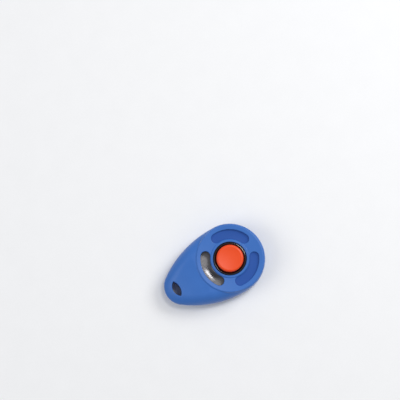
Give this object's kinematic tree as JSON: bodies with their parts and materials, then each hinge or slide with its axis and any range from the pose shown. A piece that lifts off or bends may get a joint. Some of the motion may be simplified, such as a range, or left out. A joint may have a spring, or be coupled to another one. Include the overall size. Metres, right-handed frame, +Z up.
{
  "type": "clicker trainer",
  "caption": "Palm-sized egg-shaped training clicker: a sprung thumb button in a round well snaps a steel plate inside a two-part shell with a sound slot and a lanyard slot.",
  "frame": {"origin": "on the flat resting face, in the middle of the housing's length and width", "axes": "+X towards the big end, +Z up along the button's axis, +Y across the housing"},
  "size_m": [0.07, 0.046, 0.0188],
  "materials": {
    "shell_plastic": "satin moulded blue",
    "button_plastic": "soft-touch orange",
    "collar_plastic": "gloss black",
    "nylon": "natural white",
    "spring_steel": "rolled",
    "zinc_plated": "zinc plated",
    "rubber_pad": "matte black"
  },
  "bodies": {
    "housing": {"upper_shell": "shell_plastic", "lower_shell": "shell_plastic", "button_collar": "collar_plastic", "return_spring": "spring_steel", "click_plate_root": "spring_steel", "plate_clamp": "zinc_plated", "clamp_screw_left": "zinc_plated", "clamp_screw_right": "zinc_plated", "shell_screw_left": "zinc_plated", "shell_screw_right": "zinc_plated", "shell_screw_tail": "zinc_plated"},
    "button": {"button_cap": "button_plastic", "button_plunger": "nylon", "plunger_clip": "spring_steel", "plunger_tip": "rubber_pad"},
    "tongue": {"click_plate_tongue": "spring_steel"}
  },
  "joints": [
    {"name": "button_press", "type": "slide", "parent": "housing", "child": "button", "axis": [0, 0, -1], "range_m": [0, 0.002], "stiffness_N_per_m": 1500, "springref_m": -0.0007, "deforming": ["return_spring"]},
    {"name": "plate_snap", "type": "hinge", "parent": "housing", "child": "tongue", "pos_m": [-0.0068, 0, 0.0054], "axis": [0, 1, 0], "range_deg": [0, 6.2]}
  ],
  "couplings": [
    {"joint": "plate_snap", "follows": "button_press", "rad_per_m": 53.19}
  ]
}
